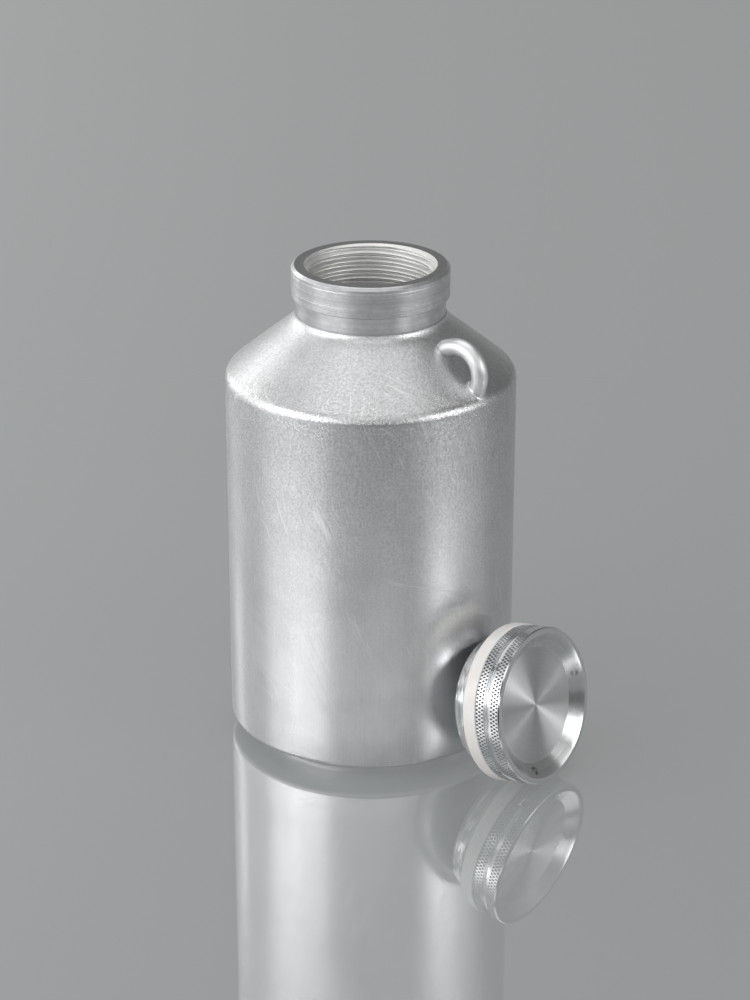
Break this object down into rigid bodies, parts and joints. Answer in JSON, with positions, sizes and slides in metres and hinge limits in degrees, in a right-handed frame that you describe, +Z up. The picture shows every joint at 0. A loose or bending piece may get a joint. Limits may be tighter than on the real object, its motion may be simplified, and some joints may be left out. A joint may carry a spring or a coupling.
{
  "type": "aluminium screw cap bottle",
  "caption": "Aluminium transport bottle with conical shoulder, threaded neck, welded sealing eye and a knurled screw cap with white gasket that leans against the wall.",
  "frame": {"origin": "on the bottle's axis, on the flat foot that it stands on", "axes": "+Z up along the bottle's axis, out of the neck; the cap leans against the wall on the +X, -Y side"},
  "size_m": [0.1256, 0.1212, 0.1712],
  "materials": {
    "satin_aluminium": "etched satin, drawn along the wall",
    "turned_aluminium": "fine turned",
    "blended_weld": "blended weld, satin",
    "bent_aluminium_bar": "smooth satin",
    "polished_aluminium": "bright turned, knurled bands",
    "white_polyethylene": "matte"
  },
  "bodies": {
    "bottle": {"bottle_body": "satin_aluminium", "neck_collar": "turned_aluminium", "neck_weld": "blended_weld", "seal_eye": "bent_aluminium_bar", "eye_weld_upper": "blended_weld", "eye_weld_lower": "blended_weld"},
    "gasket": {"gasket": "white_polyethylene"},
    "cap": {"screw_cap": "polished_aluminium"}
  },
  "joints": [
    {"name": "cap_swing", "type": "hinge", "parent": "bottle", "child": "gasket", "pos_m": [-0.08628, 0.05672, 0.1009], "axis": [-0.582, -0.8128, 0.025], "range_deg": [0, 79.52]},
    {"name": "cap_turn", "type": "hinge", "parent": "gasket", "child": "cap", "pos_m": [0.05916, -0.04963, 0.0293], "axis": [0.7873, -0.589, 0.1822], "continuous": true}
  ]
}
